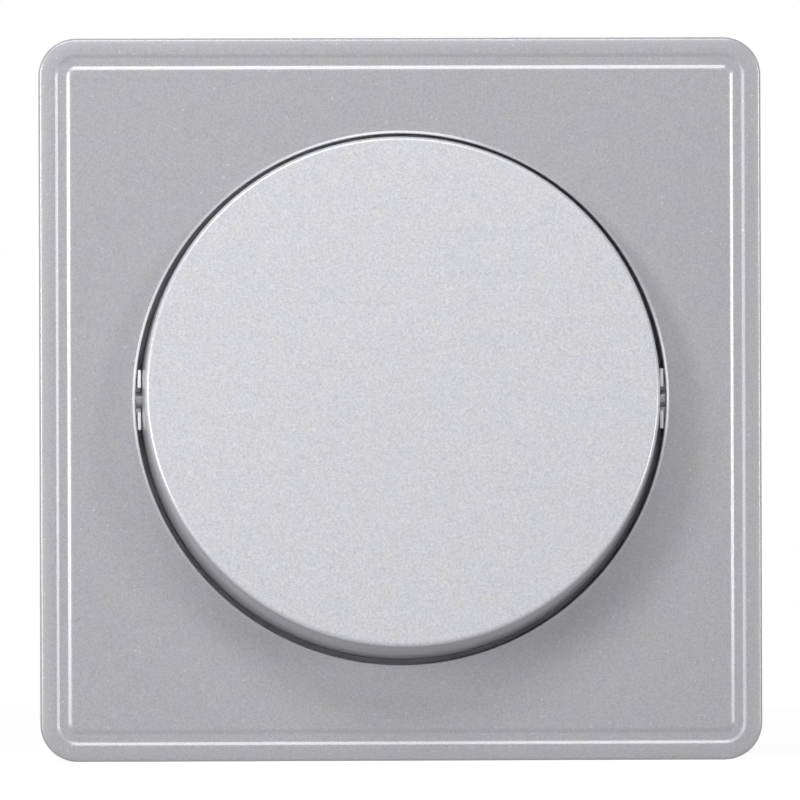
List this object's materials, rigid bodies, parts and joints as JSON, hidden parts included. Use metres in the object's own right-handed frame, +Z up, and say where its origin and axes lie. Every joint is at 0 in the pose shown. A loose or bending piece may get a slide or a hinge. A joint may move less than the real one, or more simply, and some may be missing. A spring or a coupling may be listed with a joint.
{
  "type": "surface-mounted light switch",
  "caption": "Square surface-mounted light switch with a round tilting rocker, a support plate and a snap-action contact insert in a shallow wall box.",
  "frame": {"origin": "middle of the back face that lies on the wall", "axes": "+Z up the wall, +X to the right seen from the front, +Y into the wall, so the front faces -Y"},
  "size_m": [0.08, 0.0543, 0.08],
  "materials": {
    "frame_lacquer": "satin silver-grey metallic lacquer",
    "rocker_lacquer": "satin bright silver metallic lacquer",
    "box_lacquer": "moulded grain in silver-grey lacquer",
    "rubber": "matt black rubber",
    "plated_steel": "zinc-plated stamped steel",
    "screw_steel": "zinc-plated, turned head",
    "spring_steel": "drawn spring wire",
    "bearing_white": "white acetal",
    "ring_plastic": "dark moulded plastic",
    "base_plastic": "pale grey moulded thermoset",
    "cover_plastic": "pale moulded plastic",
    "brass": "stamped brass",
    "silver": "silver contact"
  },
  "bodies": {
    "housing": {"surface_box": "box_lacquer", "cable_grommet": "rubber", "blind_grommet": "rubber", "support_plate": "plated_steel", "plate_screws": "screw_steel", "cover_screws": "screw_steel", "cover_frame": "frame_lacquer", "bearing_ring": "ring_plastic", "bearing_clip_left": "bearing_white", "bearing_clip_right": "bearing_white", "common_terminal": "brass", "contact_terminal_upper": "brass", "contact_terminal_lower": "brass", "clamp_plates": "plated_steel", "terminal_screws": "screw_steel", "fixed_contact_upper": "silver", "fixed_contact_lower": "silver", "insert_base": "base_plastic", "insert_cover": "cover_plastic"},
    "rocker": {"rocker_cap": "rocker_lacquer", "plunger_spring": "spring_steel"},
    "plunger": {"plunger": "bearing_white"},
    "seesaw": {"contact_rocker": "brass", "moving_contact_upper": "silver", "moving_contact_lower": "silver"}
  },
  "joints": [
    {"name": "rocker_tilt", "type": "hinge", "parent": "housing", "child": "rocker", "pos_m": [0, -0.0438, 0], "axis": [1, 0, 0], "range_deg": [0, 16]},
    {"name": "seesaw_tilt", "type": "hinge", "parent": "housing", "child": "seesaw", "pos_m": [0, -0.0283, 0], "axis": [1, 0, 0], "range_deg": [-20, 0]},
    {"name": "plunger_slide", "type": "slide", "parent": "rocker", "child": "plunger", "axis": [0, -0.9903, 0.1392], "range_m": [0, 0.001], "stiffness_N_per_m": 600, "deforming": ["plunger_spring"]}
  ],
  "couplings": [
    {"joint": "seesaw_tilt", "follows": "rocker_tilt", "ratio": -1.25}
  ]
}
